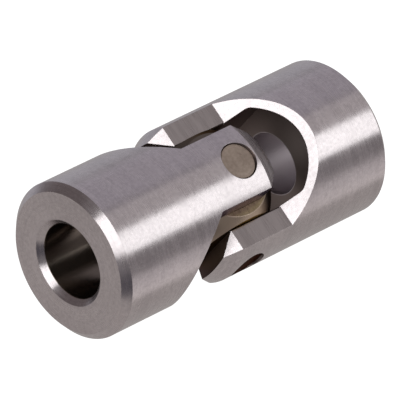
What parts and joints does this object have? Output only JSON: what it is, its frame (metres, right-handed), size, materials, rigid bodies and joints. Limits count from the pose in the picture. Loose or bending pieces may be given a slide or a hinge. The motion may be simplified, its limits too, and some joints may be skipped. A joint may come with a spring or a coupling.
{
  "type": "universal joint shaft",
  "caption": "Single cardan joint with plain bearings: two bored forks pinned at right angles to a centre block, bending about both pins.",
  "frame": {"origin": "point where the long pin's axis and the short pins' axis cross, which is also the middle of the length", "axes": "+X along the joint towards fork B's bore mouth, Z along the long pin in fork A, Y along the short pins in fork B"},
  "size_m": [0.056, 0.025, 0.025],
  "materials": {
    "turned_steel_a": "fine turned, satin",
    "turned_steel_b": "fine turned, satin",
    "hardened_block": "hardened and ground, straw tinted",
    "hardened_pin": "hardened and ground, brown-grey",
    "rivet_steel": "plain drawn"
  },
  "bodies": {
    "fork_a_body": {"fork_a": "turned_steel_a"},
    "cross_body": {"cross_block": "hardened_block", "long_pin": "hardened_pin"},
    "fork_b_body": {"fork_b": "turned_steel_b", "short_pin_left": "hardened_pin", "short_pin_right": "hardened_pin", "locking_rivet": "rivet_steel"}
  },
  "joints": [
    {"name": "long_pin_hinge", "type": "hinge", "parent": "fork_a_body", "child": "cross_body", "pos_m": [0, 0, 0], "axis": [0, 0, 1], "range_deg": [-42, 42]},
    {"name": "short_pin_hinge", "type": "hinge", "parent": "cross_body", "child": "fork_b_body", "pos_m": [0, 0, 0], "axis": [0, 1, 0], "range_deg": [-42, 42]}
  ]
}
